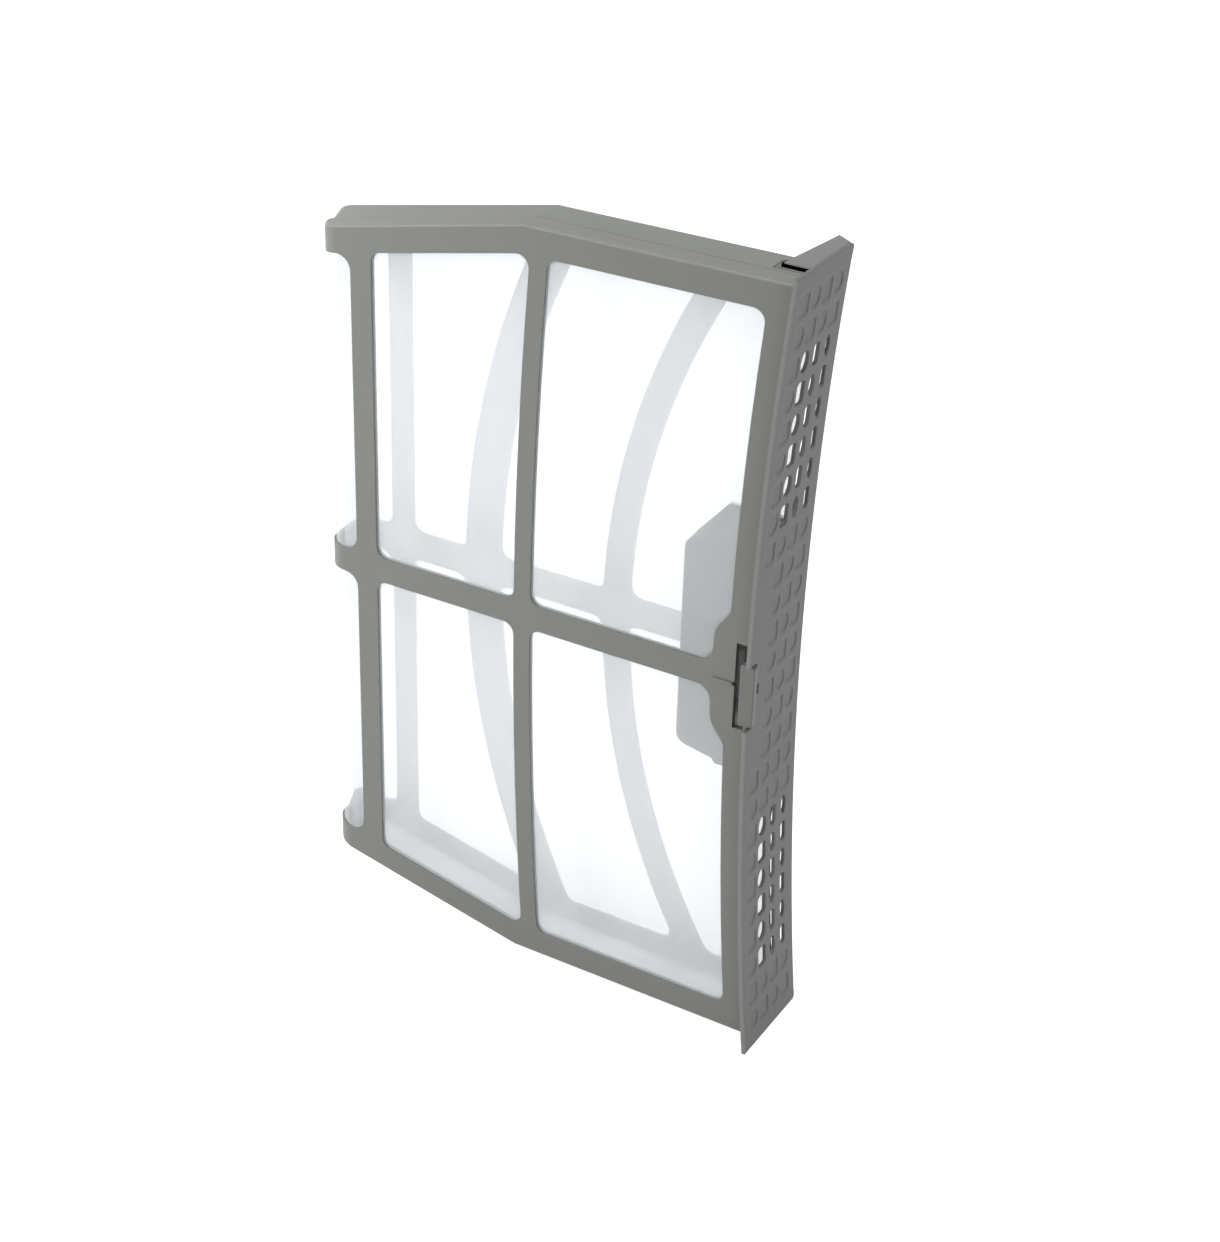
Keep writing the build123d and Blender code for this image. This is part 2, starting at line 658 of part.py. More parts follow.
os.makedirs("parts", exist_ok=True)
front_frame.part.label = "front_frame"
export_step(front_frame.part, "parts/front_frame.step")
rear_frame.part.label = "rear_frame"
export_step(rear_frame.part, "parts/rear_frame.step")
front_mesh.part.label = "front_mesh"
export_step(front_mesh.part, "parts/front_mesh.step")
rear_mesh.part.label = "rear_mesh"
export_step(rear_mesh.part, "parts/rear_mesh.step")
handle_plate.part.label = "handle_plate"
export_step(handle_plate.part, "parts/handle_plate.step")
latch_hook.part.label = "latch_hook"
export_step(latch_hook.part, "parts/latch_hook.step")
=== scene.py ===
# %% [markdown]
# # Tumble dryer lint filter
# The filter is a flat pocket that stands on its end: a front leaf and a rear half, joined by a thin
# bend on the left, and a curved handle plate on the right. A hook on the rear half holds the leaf shut.
# The solids come in as a fixed frame, in metres. This lesson dresses them: it rounds their edges,
# weaves the mesh, presses the cells into the handle plate, and lights the whole like a catalogue picture.

# %% Load the frame
import bpy
import bmesh
from math import cos, pi, radians, sin, sqrt
from mathutils import Matrix, Vector


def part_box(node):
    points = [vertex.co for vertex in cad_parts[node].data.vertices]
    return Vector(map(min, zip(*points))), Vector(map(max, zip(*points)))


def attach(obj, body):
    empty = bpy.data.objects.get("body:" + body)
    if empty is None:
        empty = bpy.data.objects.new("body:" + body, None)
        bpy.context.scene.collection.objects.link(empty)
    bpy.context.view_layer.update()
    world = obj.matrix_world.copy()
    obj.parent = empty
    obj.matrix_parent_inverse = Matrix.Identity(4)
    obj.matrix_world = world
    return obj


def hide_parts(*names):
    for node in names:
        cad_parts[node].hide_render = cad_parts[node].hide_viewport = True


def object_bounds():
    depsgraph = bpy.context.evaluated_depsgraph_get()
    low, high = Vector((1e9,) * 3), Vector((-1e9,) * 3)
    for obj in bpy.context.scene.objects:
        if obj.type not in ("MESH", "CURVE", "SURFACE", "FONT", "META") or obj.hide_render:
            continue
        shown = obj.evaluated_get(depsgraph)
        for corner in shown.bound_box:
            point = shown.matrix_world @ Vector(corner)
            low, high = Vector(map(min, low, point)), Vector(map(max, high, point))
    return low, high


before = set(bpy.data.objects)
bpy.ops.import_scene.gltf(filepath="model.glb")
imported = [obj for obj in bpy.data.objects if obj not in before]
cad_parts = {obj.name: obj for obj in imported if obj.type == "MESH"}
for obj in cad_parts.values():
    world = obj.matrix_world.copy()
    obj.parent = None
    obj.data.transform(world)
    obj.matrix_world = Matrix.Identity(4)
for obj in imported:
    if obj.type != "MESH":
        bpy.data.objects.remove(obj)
cad_low, cad_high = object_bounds()

# %% [markdown]
# ## Where things are
# Every length below is in millimetres, counted from the pocket's own origin: the crown of the bend,
# the parting plane between the two halves, and mid-height. The origin is read off the solids, so a
# piece made here always meets the solid that carries it. Only the last step of a piece turns
# millimetres into metres. Two places that differ by less than `CLOSE` millimetres count as one. Where the
# upper and the lower end differ, 1 stands for the upper one and -1 for the lower one.

# %% Pocket origin
MM = 0.001
CLOSE = 1e-3
PLATE_FRONT_REACH = 12.8
plate_low, plate_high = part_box("handle_plate")
pocket_origin = Vector((
    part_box("rear_frame")[0].x,
    plate_low.y + PLATE_FRONT_REACH * MM,
    (plate_low.z + plate_high.z) / 2,
))
PLATE_HALF = (plate_high.z - plate_low.z) / 2 / MM
PLATE_WIDTH = (plate_high.y - plate_low.y) / MM
print("pocket origin", [round(value, 5) for value in pocket_origin], "plate half length", PLATE_HALF)

# %% [markdown]
# ## Helpers that finish a piece
# A bmesh is a loose net of points, edges and faces. `place_net` moves it into the shared frame, and
# `finish_piece` gives it a home: it names the piece, hands it to a body so that it moves with it, and hides
# the solid it stands for. Weighted normals keep large flat faces flat next to small rounded edges.

# %% Piece helper
SMOOTH_BELOW = radians(35)


def finish_piece(net, name, body, node):
    """Turns a bmesh into a named object that rides on a body and stands for a solid."""
    mesh = bpy.data.meshes.new(name)
    net.to_mesh(mesh)
    net.free()
    mesh.polygons.foreach_set("use_smooth", [True] * len(mesh.polygons))
    mesh.set_sharp_from_angle(angle=SMOOTH_BELOW)
    piece = bpy.data.objects.new(name, mesh)
    bpy.context.scene.collection.objects.link(piece)
    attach(piece, body)
    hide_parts(node)
    print(name, len(mesh.polygons), "faces")
    return piece


def place_net(net):
    """Moves a net from millimetres at the pocket's origin to metres in the shared frame."""
    bmesh.ops.scale(net, vec=(MM, MM, MM), verts=net.verts)
    bmesh.ops.translate(net, vec=pocket_origin, verts=net.verts)


def keep_flat_faces(piece):
    """Keeps large faces flat beside their small rounded edges."""
    weighted = piece.modifiers.new("flat faces", "WEIGHTED_NORMAL")
    weighted.keep_sharp = True


# %% [markdown]
# ## Helpers that work on a net
# The first helpers pick out parts of a net: its points, its open edges, its sharp edges. The others split
# faces along a plane, drop faces, cut a net off, and round edges.

# %% Pick parts of a net
SHARP_ABOVE = radians(40)


def in_pocket(point):
    """Where a placed point lies, in millimetres from the pocket's origin."""
    return (point.co - pocket_origin) / MM


def points_of(parts):
    """The points among the parts that an operator made."""
    return [part for part in parts if isinstance(part, bmesh.types.BMVert)]


def parts_of(faces):
    """Faces together with all their edges and points."""
    lines = list({line for face in faces for line in face.edges})
    points = list({point for face in faces for point in face.verts})
    return points + lines + faces


def open_edges(net):
    """The edges with a face on one side only."""
    return [line for line in net.edges if line.is_boundary]


def sharp_edges(net):
    """The edges where two faces meet at a sharp angle."""
    return [line for line in net.edges if line.is_manifold and line.calc_face_angle() > SHARP_ABOVE]


# %% Cut and round a net
CUT_WITHIN = 1e-5


def cut_line(net, place, direction, near=None):
    """Splits every face along a plane, or only the faces whose middle is near, and removes nothing."""
    faces = [face for face in net.faces if near is None or near(face.calc_center_median())]
    bmesh.ops.bisect_plane(
        net, geom=parts_of(faces), dist=CUT_WITHIN, plane_co=place, plane_no=direction
    )


def drop_faces(net, inside):
    """Deletes the faces whose middle lies inside an outline."""
    gone = [face for face in net.faces if inside(face.calc_center_median())]
    bmesh.ops.delete(net, geom=gone, context="FACES")


def cut_off(net, place, direction):
    """Cuts away all that lies past a plane and returns the parts along the cut."""
    return bmesh.ops.bisect_plane(
        net, geom=net.verts[:] + net.edges[:] + net.faces[:], dist=CUT_WITHIN,
        plane_co=place, plane_no=direction, clear_outer=True,
    )["geom_cut"]


def round_edges(net, lines, radius, segments, clamp=False):
    """Rounds edges; clamp keeps neighbouring roundings from running into each other."""
    bmesh.ops.bevel(
        net, geom=lines, offset=radius, segments=segments, profile=0.5, affect="EDGES",
        material=-1, clamp_overlap=clamp,
    )


# %% [markdown]
# ## Camera
# The picture was taken from the front right and above, with a long lens. The camera's axes and place
# were worked out from points that can be recognised on the object, so straight edges line up.
# The picture is 1220 by 1242 points; the long side belongs to the sensor's 36 mm.

# %% Camera
PICTURE_HEIGHT = 1242
FOCAL_POINTS = 2480.683
SENSOR = 36.0
camera_right = Vector((0.86262, 0.50509, 0.02788))
camera_up = Vector((-0.26905, 0.41142, 0.87083))
camera_place = Vector((0.35505, -0.59677, 0.52044))

camera_data = bpy.data.cameras.new("camera")
camera_data.sensor_width = SENSOR
camera_data.lens = SENSOR * FOCAL_POINTS / PICTURE_HEIGHT
camera = bpy.data.objects.new("camera", camera_data)
bpy.context.scene.collection.objects.link(camera)
camera_back = camera_right.cross(camera_up)
camera.matrix_world = Matrix.Translation(camera_place) @ Matrix(
    (camera_right, camera_up, camera_back)
).transposed().to_4x4()
bpy.context.scene.camera = camera
print("lens", round(camera_data.lens, 2), "mm")

# %% [markdown]
# ## Shader sums in plain Python
# A material is a net of small nodes. Writing each sum as a node by hand is slow, so `Wire` wraps one
# output of a node and lets Python's own signs add the Math nodes. Every other node comes from
# `Finish.node`, which takes its type, its settings and its inputs. A Mix node has many sockets of the same
# name, so those for colour go by number.

# %% Wire and Finish
MIX_INPUTS = (0, 6, 7)
MIX_COLOUR = 2


class Wire:
    """One output of a node that can be added, subtracted and multiplied like a number."""

    def __init__(self, finish, output):
        self.finish = finish
        self.output = output

    def sum(self, operation, first, second):
        return self.finish.node("ShaderNodeMath", {"operation": operation}, {0: first, 1: second})

    def __add__(self, other):
        return self.sum("ADD", self, other)

    def __radd__(self, other):
        return self.sum("ADD", other, self)

    def __sub__(self, other):
        return self.sum("SUBTRACT", self, other)

    def __rsub__(self, other):
        return self.sum("SUBTRACT", other, self)

    def __mul__(self, other):
        return self.sum("MULTIPLY", self, other)


class Finish:
    """The node tree of one material, or of the room's light."""

    def __init__(self, owner, shader="Principled BSDF"):
        self.owner = owner
        owner.use_nodes = True
        self.tree = owner.node_tree
        self.shader = self.tree.nodes[shader]

    def connect(self, node, inputs):
        for key, value in inputs.items():
            if isinstance(value, Wire):
                self.tree.links.new(value.output, node.inputs[key])
            else:
                node.inputs[key].default_value = value

    def node(self, kind, settings, inputs, output=0):
        node = self.tree.nodes.new(kind)
        for key, value in settings.items():
            setattr(node, key, value)
        self.connect(node, inputs)
        return Wire(self, node.outputs[output])

    def surface(self, inputs):
        self.connect(self.shader, inputs)

    def noise(self, place, scale, detail):
        return self.node("ShaderNodeTexNoise", {}, {"Vector": place, "Scale": scale, "Detail": detail})

    def between(self, share, first, second):
        inputs = dict(zip(MIX_INPUTS, (share, first, second)))
        return self.node("ShaderNodeMix", {"data_type": "RGBA"}, inputs, MIX_COLOUR)


# %% [markdown]
# ## Moulded plastic
# The frame, the plate and the hook are one dull grey plastic with a greenish cast, eroded to a fine
# satin grain by the mould. Three things vary over such a surface: a slow drift of the tone where the
# melt flowed, the grain itself, and how dull it is. The grain is far finer than a picture point,
# so it goes into a bump, while every edge and cell is real shape. The plate's copy is darker, partly
# as painted shade for a face turned away from the main light. The plate's near edge has a lighter,
# smoother copy: a painted highlight for the light its rounded edge catches.

# %% Plastic finishes
GRAIN_PER_METRE = 2600.0
FLOW_PER_METRE = 28.0
SPECK_PER_METRE = 900.0
DRIFT_DETAIL = 2.0
FINE_DETAIL = 1.0
FLOW_SHARE = 0.75
GRAIN_DULLNESS = 0.18
FLOW_DULLNESS = 0.08
GRAIN_STRENGTH = 0.12
GRAIN_DEPTH = 0.00005
PLASTIC_GLOSS = 0.42


def moulded_plastic(name, dark, light, dullness):
    """Satin moulded plastic: drifting tone, fine specks and an eroded grain."""
    finish = Finish(bpy.data.materials.new(name))
    place = finish.node("ShaderNodeTexCoord", {}, {}, "Object")
    flow = finish.noise(place, FLOW_PER_METRE, DRIFT_DETAIL)
    specks = finish.noise(place, SPECK_PER_METRE, FINE_DETAIL)
    grain = finish.noise(place, GRAIN_PER_METRE, FINE_DETAIL)
    tone = flow * FLOW_SHARE + specks * (1 - FLOW_SHARE)
    finish.surface({
        "Base Color": finish.between(tone, dark, light),
        "Roughness": dullness + (grain - 0.5) * GRAIN_DULLNESS + (flow - 0.5) * FLOW_DULLNESS,
        "Normal": finish.node(
            "ShaderNodeBump", {}, {"Strength": GRAIN_STRENGTH, "Distance": GRAIN_DEPTH, "Height": grain}
        ),
        "Specular IOR Level": PLASTIC_GLOSS,
    })
    return finish.owner


# Darkest colour, lightest colour and dullness.
PLASTICS = {
    "frame_plastic": ((0.135, 0.141, 0.130, 1.0), (0.160, 0.166, 0.154, 1.0), 0.46),
    # Plate: its own tone made darker still as painted shade, for a face turned away from the main light.
    "plate_plastic_with_painted_shade": ((0.096, 0.099, 0.095, 1.0), (0.115, 0.118, 0.114, 1.0), 0.50),
    # Painted highlight: a lighter, smoother copy of the plastic for the plate's near edge.
    "edge_plastic_painted_highlight": ((0.160, 0.166, 0.157, 1.0), (0.184, 0.190, 0.181, 1.0), 0.36),
    "latch_plastic": ((0.114, 0.118, 0.110, 1.0), (0.132, 0.136, 0.128, 1.0), 0.42),
}
plastics = {name: moulded_plastic(name, *values) for name, values in PLASTICS.items()}
print("plastics", list(plastics))

# %% [markdown]
# ## Woven mesh
# The filter cloth is an open weave of fine white polyester threads. One thread is thinner than a
# picture point, so the weave is drawn in the finish: two sets of threads cross at right angles along the
# cloth's own map, which counts millimetres along the cloth. Between the threads the cloth is open,
# so what lies behind shows through a white veil. From any distance the eye blends threads and gaps, so
# only a fifth of their contrast is kept, which also stops the two sheets from making false stripes.

# %% Mesh finish
THREAD_PITCH = 0.22
THREAD_SOFTNESS = 0.05
THREAD_CONTRAST = 0.2
THREAD_STRENGTH = 0.15
THREAD_DEPTH = 0.00002
FRONT_THREAD_SHARE = 0.18
REAR_THREAD_SHARE = 0.38
CLOTH_COLOURS = ((0.915, 0.948, 0.985, 1.0), (0.935, 0.963, 0.99, 1.0))
CLOTH_DULLNESS = 0.62
CLOTH_DRIFT_PER_MM = 0.05


def woven_mesh(name, thread_share):
    """Open weave of white threads; the gaps between them are clear."""
    finish = Finish(bpy.data.materials.new(name))
    cloth = finish.node("ShaderNodeUVMap", {"uv_map": "cloth"}, {})
    along = finish.node("ShaderNodeSeparateXYZ", {}, {"Vector": cloth}, "X")
    across = finish.node("ShaderNodeSeparateXYZ", {}, {"Vector": cloth}, "Y")
    edge = thread_share / 2

    def threads(length):
        fold = finish.node(
            "ShaderNodeMath", {"operation": "PINGPONG"}, {0: length * (1 / THREAD_PITCH), 1: 0.5}
        )
        return finish.node("ShaderNodeMapRange", {"interpolation_type": "SMOOTHSTEP"}, {
            "Value": fold,
            "From Min": edge - THREAD_SOFTNESS,
            "From Max": edge + THREAD_SOFTNESS,
            "To Min": 1.0,
            "To Max": 0.0,
        })

    warp = threads(along)
    weft = threads(across)
    cover = 1.0 - (1.0 - warp) * (1.0 - weft)
    mean_cover = 1.0 - (1.0 - thread_share) ** 2
    drift = finish.noise(cloth, CLOTH_DRIFT_PER_MM, DRIFT_DETAIL)
    finish.surface({
        "Base Color": finish.between(drift, *CLOTH_COLOURS),
        "Roughness": CLOTH_DULLNESS,
        "Alpha": mean_cover + (cover - mean_cover) * THREAD_CONTRAST,
        "Normal": finish.node(
            "ShaderNodeBump", {},
            {"Strength": THREAD_STRENGTH, "Distance": THREAD_DEPTH, "Height": warp + weft},
        ),
    })
    return finish.owner


front_cloth = woven_mesh("front_cloth", FRONT_THREAD_SHARE)
rear_cloth = woven_mesh("rear_cloth", REAR_THREAD_SHARE)
print("mesh", front_cloth.name, rear_cloth.name)

# %% [markdown]
# ## Small changes of shape
# Three places of the frames are touched up before their edges are rounded. Beside the vents the rear
# half's last bar is slimmer and stands back from the plate, so that slivers of light show through the
# vents. The rear half's corners reach out a little at the bend, and the slanting sides of the leaf's lobe
# are full. Each change is a function that moves the points of a net.

# %% Where the plate lies
PLATE_CURVE = 1270.0
PLATE_MID_X = 160.4
CURVE_X = PLATE_MID_X + PLATE_CURVE
VENT_NEAR_Z = 50.0
VENT_FAR_Z = 110.0


def plate_x(z, inward=0.0):
    """How far the plate's outer face, or a line inside it, lies from the bend at a height."""
    return CURVE_X - sqrt((PLATE_CURVE + inward) ** 2 - z**2)


print("plate from", PLATE_MID_X, "to", round(plate_x(PLATE_HALF), 2))

# %% Last rear bar
REAR_BAR_Y = 11.5
REAR_BAR_DEPTH = 3.0
REAR_BAR_SETBACK = 1.7
VENT_MARGIN = 8.0


def set_back_bar(net):
    """Slims the rear half's last bar, so that it stands back from the plate beside the vents."""
    for point in net.verts:
        x, y, z = in_pocket(point)
        beside_vents = VENT_NEAR_Z < abs(z) < VENT_FAR_Z + VENT_MARGIN
        if beside_vents and y > REAR_BAR_Y and plate_x(z) - x < REAR_BAR_DEPTH:
            point.co.x -= REAR_BAR_SETBACK * MM
    print("last rear bar set back by", REAR_BAR_SETBACK, "mm")


# %% Corners at the bend
MERGE_METRES = 1e-6
CORNER_FROM_Z = 100.0
CORNER_TO_X = 12.0
CORNER_FROM_Y = 1.5
CORNER_FULL_Y = 14.0
CORNER_REACH = 5.4


def corner_share(point):
    """0 where the rear half keeps its shape, growing towards the ends of its two corners at the bend."""
    x, y, z = in_pocket(point)
    if x > CORNER_TO_X or abs(z) < CORNER_FROM_Z:
        return 0.0
    return max(y - CORNER_FROM_Y, 0.0) / (CORNER_FULL_Y - CORNER_FROM_Y) * (1 - x / CORNER_TO_X)


def reach_out_corners(net):
    """Lets the rear half's two corners at the bend lean outwards, from just behind the parting plane."""
    faces = [face for face in net.faces if any(corner_share(point) for point in face.verts)]
    bmesh.ops.bisect_plane(
        net, geom=parts_of(faces), dist=MERGE_METRES,
        plane_co=pocket_origin + Vector((0, CORNER_FROM_Y, 0)) * MM, plane_no=(0, 1, 0),
    )
    for point in net.verts:
        point.co.x -= CORNER_REACH * corner_share(point) * MM
    print("corners at the bend", len(faces), "faces")


# %% Lobe of the leaf
LOBE_SIDE_TOP = (150.46, 23.53)
LOBE_SIDE_NECK = (144.83, 7.64)
LOBE_FULLNESS = {1: 1.8, -1: 2.0}
LOBE_CUTS = 11
LOBE_MATCH = 0.05


def from_front(point):
    """A placed point's place in the pocket as seen from the front, without its depth."""
    at = in_pocket(point)
    return Vector((at.x, 0, at.z))


def joins(line, ends):
    """True for an edge that runs from one place to another, as seen from the front."""
    return all(any((from_front(point) - end).length < LOBE_MATCH for point in line.verts) for end in ends)


def fill_lobe(net):
    """Makes the two slanting sides of the leaf's lobe full."""
    for side, fullness in LOBE_FULLNESS.items():
        top, neck = (Vector((x, 0, side * z)) for x, z in (LOBE_SIDE_TOP, LOBE_SIDE_NECK))
        along = neck - top
        outward = Vector((-abs(along.z), 0, side * abs(along.x))).normalized()
        lines = [line for line in net.edges if joins(line, (top, neck))]
        made = bmesh.ops.subdivide_edges(net, edges=lines, cuts=LOBE_CUTS, use_grid_fill=True)
        for point in points_of(made["geom_inner"]):
            share = (from_front(point) - top).dot(along) / along.length_squared
            point.co += outward * fullness * sin(pi * share) ** 2 * MM
        print("lobe side", side, "lines", len(lines))


# %% [markdown]
# ## Frames and hook
# The two frames and the hook already have the right shape, but a moulded edge is never razor sharp.
# A copy of each solid is merged, its flat faces are joined, the small changes are made, and every sharp
# edge gets a small rounding, which is what catches the light along the real bars.

# %% Rounded frames
FLAT_BELOW = radians(0.6)
FRAME_EDGE = 0.3
HOOK_EDGE = 0.35
EDGE_SEGMENTS = 2


def rounded_solid(node, name, body, edge, finish, changes=()):
    """Copy of a solid whose sharp edges are rounded, after small changes of shape."""
    net = bmesh.new()
    net.from_mesh(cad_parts[node].data)
    bmesh.ops.remove_doubles(net, verts=net.verts, dist=MERGE_METRES)
    bmesh.ops.dissolve_limit(net, angle_limit=FLAT_BELOW, verts=net.verts, edges=net.edges)
    for change in changes:
        change(net)
    round_edges(net, sharp_edges(net), edge * MM, EDGE_SEGMENTS, clamp=True)
    piece = finish_piece(net, name, body, node)
    piece.data.materials.clear()
    piece.data.materials.append(finish)
    keep_flat_faces(piece)


rounded_solid(
    "rear_frame", "rear_frame_shell", "rear_half", FRAME_EDGE, plastics["frame_plastic"],
    (set_back_bar, reach_out_corners),
)
rounded_solid(
    "front_frame", "front_leaf_shell", "front_leaf", FRAME_EDGE, plastics["frame_plastic"],
    (fill_lobe,),
)
rounded_solid("latch_hook", "latch_hook_shell", "latch", HOOK_EDGE, plastics["latch_plastic"])

# %% [markdown]
# ## Mesh sheets
# Each half has one sheet of mesh: flat over the windows, then round the bend. The front sheet is moulded
# into the bars, just under their outer face; the rear sheet lies on the inside of its bars and also turns
# in along the two end walls, so that bars and walls look pale from the front. Both are held along every
# bar, so they are stretched and flat. A grid is laid out flat and every point is then carried to its
# place; the cloth's map keeps the flat millimetres, so the weave stays even.

# %% Sheet outline
KINK_X = 75.4
KINK_HALF = 130.2
HINGE_HALF = 113.9
HANDLE_HALF = 131.0
HANDLE_X = 167.6
SHEET_EDGE = 2.4


def half_height(x):
    """Half-height of the pocket at a distance from the bend."""
    if x < KINK_X:
        return HINGE_HALF + (KINK_HALF - HINGE_HALF) * x / KINK_X
    return KINK_HALF + (HANDLE_HALF - KINK_HALF) * (x - KINK_X) / (HANDLE_X - KINK_X)


print("half heights", half_height(0), half_height(KINK_X))

# %% Sheet of mesh
SHEET_COLUMNS = 45
SHEET_ROWS = 60
BEND_SHARE = 0.2
SHEET_HEIGHT = 2 * (HANDLE_HALF - SHEET_EDGE)
PARTING_HALF = 0.3


def mesh_net(depth, bend, inset, facing, reach):
    """Flat grid carried into the front (-1) or rear (1) half: an end wall, a rounded corner, then flat."""
    radius = bend - inset
    corner_y = depth - bend
    wall = max(corner_y - PARTING_HALF, 0.0)
    start = max(PARTING_HALF - corner_y, 0.0) / radius
    bend_length = wall + radius * (pi / 2 - start)
    net = bmesh.new()
    bmesh.ops.create_grid(net, x_segments=SHEET_COLUMNS, y_segments=SHEET_ROWS, size=0.5)
    cloth = net.loops.layers.uv.new("cloth")
    flat_place = {}
    for point in net.verts:
        share = point.co.x + 0.5
        height = 2 * point.co.y
        flat_length = plate_x(height * (HANDLE_HALF - SHEET_EDGE), reach) - bend
        length = bend_length * share / BEND_SHARE
        if length < wall:
            x = inset
            y = PARTING_HALF + length
        elif share < BEND_SHARE:
            turn = start + (length - wall) / radius
            x = bend - radius * cos(turn)
            y = corner_y + radius * sin(turn)
        else:
            x = bend + flat_length * (share - BEND_SHARE) / (1 - BEND_SHARE)
            y = depth - inset
            length = bend_length + x - bend
        z = height * (half_height(x) - SHEET_EDGE)
        flat_place[point] = (length, z)
        point.co = (x, facing * y, z)
    for face in net.faces:
        for corner in face.loops:
            corner[cloth].uv = flat_place[corner.vert]
    longest = max(length for length, z in flat_place.values())
    return net, longest


def turn_in(net, end, bend, reach, to_x):
    """Turns the rear sheet's upper or lower edge in along the end wall, up to a distance from the bend."""

    def at_end(at):
        return bend < at.x < to_x and abs(end * at.z - half_height(at.x) + SHEET_EDGE) < CLOSE

    cloth = net.loops.layers.uv.active
    lines = [line for line in open_edges(net) if all(at_end(point.co) for point in line.verts)]
    made = bmesh.ops.extrude_edge_only(net, edges=lines)["geom"]
    points = points_of(made)
    bmesh.ops.translate(net, vec=(0, -reach, 0), verts=points)
    for face in [part for part in made if isinstance(part, bmesh.types.BMFace)]:
        for corner in face.loops:
            if corner.vert in points:
                corner[cloth].uv.y *= 1 + reach / abs(corner[cloth].uv.y)
    print("turned in", len(lines), "edges")


def sheet_piece(net, name, body, node, flat_length, flat_height, cloth):
    area = sum(face.calc_area() for face in net.faces) * MM * MM
    bmesh.ops.recalc_face_normals(net, faces=net.faces)
    place_net(net)
    piece = finish_piece(net, name, body, node)
    piece.data.materials.append(cloth)
    flat_length * MM
    print(name, "flat", round(flat_length, 1), "by", round(flat_height, 1), "area", round(area, 5))


# %% Front sheet, with a bite where the hook passes
FRONT_DEPTH = 8.0
FRONT_BEND = 8.0
FRONT_REACH = 6.0
FRONT_INSET = 0.8
BITE_X = 152.0
BITE_FROM_Z = -16.7
BITE_TO_Z = 14.0

front_net, front_length = mesh_net(FRONT_DEPTH, FRONT_BEND, FRONT_INSET, -1, FRONT_REACH)
cut_line(front_net, (BITE_X, 0, 0), (1, 0, 0))
cut_line(front_net, (0, 0, BITE_FROM_Z), (0, 0, 1))
cut_line(front_net, (0, 0, BITE_TO_Z), (0, 0, 1))
drop_faces(front_net, lambda middle: middle.x > BITE_X and BITE_FROM_Z < middle.z < BITE_TO_Z)
sheet_piece(
    front_net, "front_mesh_sheet", "front_leaf", "front_mesh", front_length, SHEET_HEIGHT, front_cloth
)

# %% Rear sheet, open round the finger recess
REAR_DEPTH = 14.0
REAR_BEND = 4.5
REAR_REACH = 3.9
REAR_INSET = 2.3
RECESS_MID_Z = 1.2
RECESS_X = 127.0
RECESS_HALF = 46.8
SHOULDER_X = 138.0
SHOULDER_HALF = 34.3
RECESS_CLEAR = 0.4
TURN_IN = 11.0
TURN_IN_TO_X = {1: 149.0, -1: 164.0}
shoulder_slope = Vector((SHOULDER_HALF - RECESS_HALF, 0, SHOULDER_X - RECESS_X)).normalized()


def by_shoulder(middle, side, shoulder):
    """True near the cut-off corner at the upper or lower end of the recess."""
    return middle.x > RECESS_X - RECESS_CLEAR and 0 < side * (shoulder.z - middle.z) < RECESS_HALF / 2


def in_recess(middle):
    """True inside the recess's outline, which has cut-off corners."""
    height = abs(middle.z - RECESS_MID_Z)
    past_shoulder = shoulder_slope.dot((middle.x - SHOULDER_X, 0, height - RECESS_HALF))
    return (
        middle.x > RECESS_X - RECESS_CLEAR
        and height < RECESS_HALF + RECESS_CLEAR
        and past_shoulder < RECESS_CLEAR
    )


rear_net, rear_length = mesh_net(REAR_DEPTH, REAR_BEND, REAR_INSET, 1, REAR_REACH)
cut_line(rear_net, (RECESS_X - RECESS_CLEAR, 0, 0), (1, 0, 0))
for side in (1, -1):
    end_z = RECESS_MID_Z + side * (RECESS_HALF + RECESS_CLEAR)
    cut_line(rear_net, (0, 0, end_z), (0, 0, 1))
    outward = Vector((shoulder_slope.x, 0, side * shoulder_slope.z))
    shoulder = Vector((SHOULDER_X, 0, RECESS_MID_Z + side * RECESS_HALF)) + outward * RECESS_CLEAR
    cut_line(rear_net, shoulder, outward, lambda middle: by_shoulder(middle, side, shoulder))
drop_faces(rear_net, in_recess)
for end, to_x in TURN_IN_TO_X.items():
    turn_in(rear_net, end, REAR_BEND, TURN_IN, to_x)
rear_height = SHEET_HEIGHT + 2 * TURN_IN
sheet_piece(
    rear_net, "rear_mesh_sheet", "rear_half", "rear_mesh", rear_length, rear_height, rear_cloth
)

# %% [markdown]
# ## Handle plate
# The plate's outer face is a chequer of oblong and oval cells. Most are shallow dimples; in two fields
# they go right through as vents. One tile of each kind is made from rings of twenty points, bridged one to
# the next, and the tiles are laid out like paving. Then the margins are drawn out, the edge is closed, the
# hook's notch is cut, and last the whole is bent to the plate's gentle curve.

# %% Rings
RING = 20
SIDE_CUTS = RING // 4 - 1
OBLONG_CORNER = 1.2


